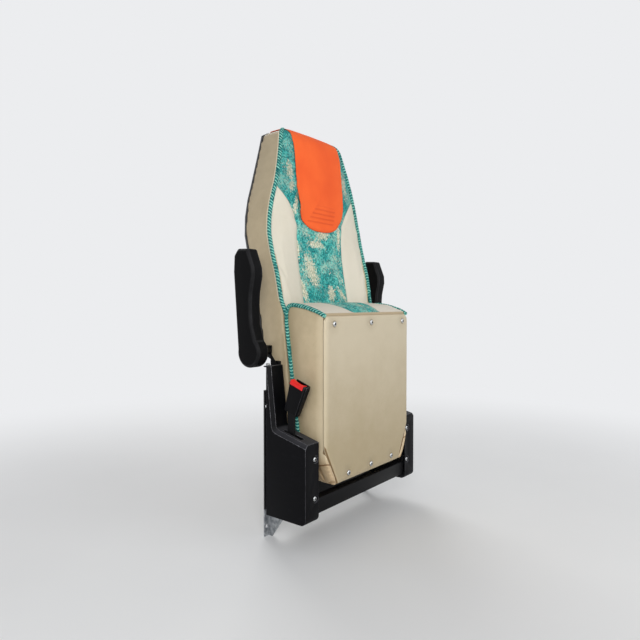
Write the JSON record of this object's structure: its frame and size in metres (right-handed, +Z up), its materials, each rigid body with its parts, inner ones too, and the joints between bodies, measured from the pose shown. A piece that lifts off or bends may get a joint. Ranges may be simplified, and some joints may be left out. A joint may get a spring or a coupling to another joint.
{
  "type": "coach crew seat",
  "caption": "Tip-up crew seat for a coach entrance: padded cushion and armrests fold up, high back with head cover, side covers, belt buckle, wall flanges.",
  "frame": {"origin": "centre of the four wall bolts, on the wall's face", "axes": "+X to the sitter's left, +Y back into the wall, +Z up"},
  "size_m": [0.581, 0.2796, 1.0508],
  "materials": {
    "board_vinyl": "grained vinyl",
    "seat_fabric": "woven and vinyl",
    "bright_steel": "zinc plated",
    "black_steel": "satin powder coat",
    "zinc_steel": "galvanised",
    "black_plastic": "fine grain",
    "shell_plastic": "fine grain",
    "orange_cloth": "smooth cloth",
    "soft_black": "self-skinned foam",
    "red_plastic": "gloss"
  },
  "bodies": {
    "frame": {"hinge_pin_left": "bright_steel", "hinge_pin_right": "bright_steel", "stop_pin_left": "bright_steel", "stop_pin_right": "bright_steel", "side_frame_left": "black_steel", "side_frame_right": "black_steel", "wall_bracket_left": "zinc_steel", "wall_bracket_right": "zinc_steel", "front_beam": "black_steel", "cross_panel": "black_steel", "side_cover_left": "black_plastic", "side_cover_right": "black_plastic", "cover_bolts": "bright_steel", "backrest_pad": "seat_fabric", "back_shell": "shell_plastic", "backrest_leg_left": "black_steel", "backrest_leg_right": "black_steel", "head_cover": "orange_cloth", "armrest_shaft_left": "black_steel", "armrest_shaft_right": "black_steel", "arm_post_left": "black_steel", "arm_post_right": "black_steel", "post_bolts": "bright_steel", "buckle_body": "black_plastic", "buckle_button": "red_plastic", "buckle_stalk": "black_steel"},
    "cushion": {"seat_board": "board_vinyl", "cushion_pad": "seat_fabric", "board_screws": "bright_steel", "hinge_arm_left": "black_steel", "hinge_arm_right": "black_steel"},
    "arm_left": {"armrest_left": "soft_black"},
    "arm_right": {"armrest_right": "soft_black"}
  },
  "joints": [
    {"name": "cushion_tip", "type": "hinge", "parent": "frame", "child": "cushion", "pos_m": [0, -0.123, 0.018], "axis": [1, 0, 0], "range_deg": [0, 90], "stiffness_Nm_per_rad": 5, "springref_deg": -51.57},
    {"name": "armrest_left_tip", "type": "hinge", "parent": "frame", "child": "arm_left", "pos_m": [0.2725, 0.004, 0.288], "axis": [1, 0, 0], "range_deg": [0, 90]},
    {"name": "armrest_right_tip", "type": "hinge", "parent": "frame", "child": "arm_right", "pos_m": [-0.2725, 0.004, 0.288], "axis": [1, 0, 0], "range_deg": [0, 90]}
  ]
}
